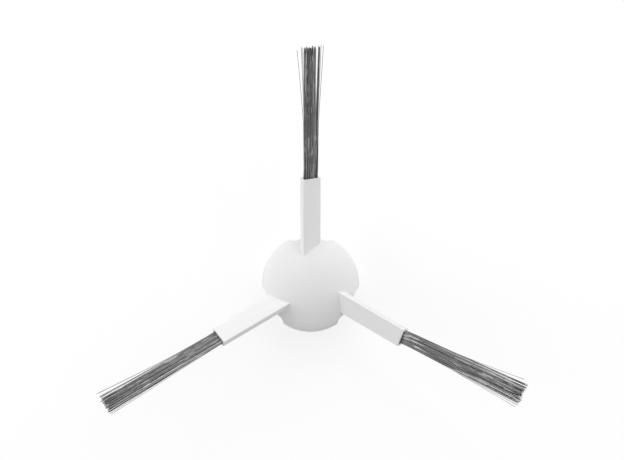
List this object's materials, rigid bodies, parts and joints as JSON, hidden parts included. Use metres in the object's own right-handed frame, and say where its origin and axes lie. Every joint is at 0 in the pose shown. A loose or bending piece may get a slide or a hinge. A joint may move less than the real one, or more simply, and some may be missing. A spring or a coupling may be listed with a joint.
{
  "type": "robot vacuum side brush",
  "caption": "Side brush of a robot vacuum: a domed hub with pitched rising arms, each ending in a flat fanned tuft of bristles, and a blind drive socket underneath.",
  "frame": {"origin": "the hub's axis at the plane of its base rim, which is the mouth of the drive socket", "axes": "+Z along the hub's axis, out of the dome; +Y along the first arm as seen from above"},
  "size_m": [0.1308, 0.114, 0.0312],
  "materials": {
    "hub_plastic": "white moulded plastic with a fine satin surface",
    "bristle": "dark grey nylon filaments with a soft sheen along their length"
  },
  "bodies": {
    "root": {"brush_hub": "hub_plastic", "bristle_tuft_1": "bristle", "bristle_tuft_2": "bristle", "bristle_tuft_3": "bristle"}
  },
  "joints": []
}
